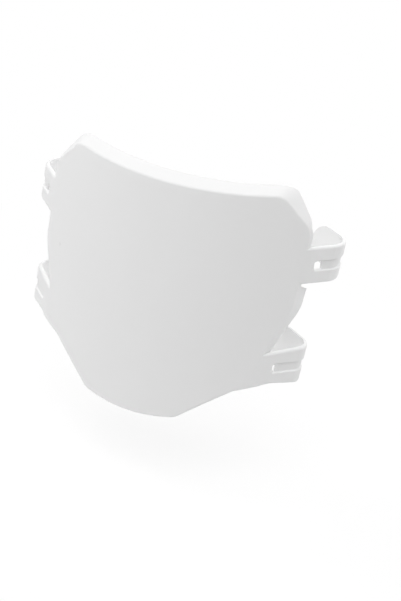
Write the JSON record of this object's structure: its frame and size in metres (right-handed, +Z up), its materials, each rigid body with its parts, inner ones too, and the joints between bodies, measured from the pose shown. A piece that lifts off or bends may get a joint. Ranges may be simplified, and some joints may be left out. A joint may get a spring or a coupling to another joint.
{
  "type": "racing number board",
  "caption": "One-piece moulded front number board for an off-road motorbike: a curved blank face with a return rim, and hooked straps that reach round the fork legs.",
  "frame": {"origin": "midway between the two fork legs, at the height midway between the upper and the lower straps", "axes": "+X across the board, -Y the way the face looks, +Z up along the fork legs"},
  "size_m": [0.2798, 0.0981, 0.2192],
  "materials": {
    "board": "satin white moulded polypropylene"
  },
  "bodies": {
    "root": {"number_board": "board"}
  },
  "joints": []
}
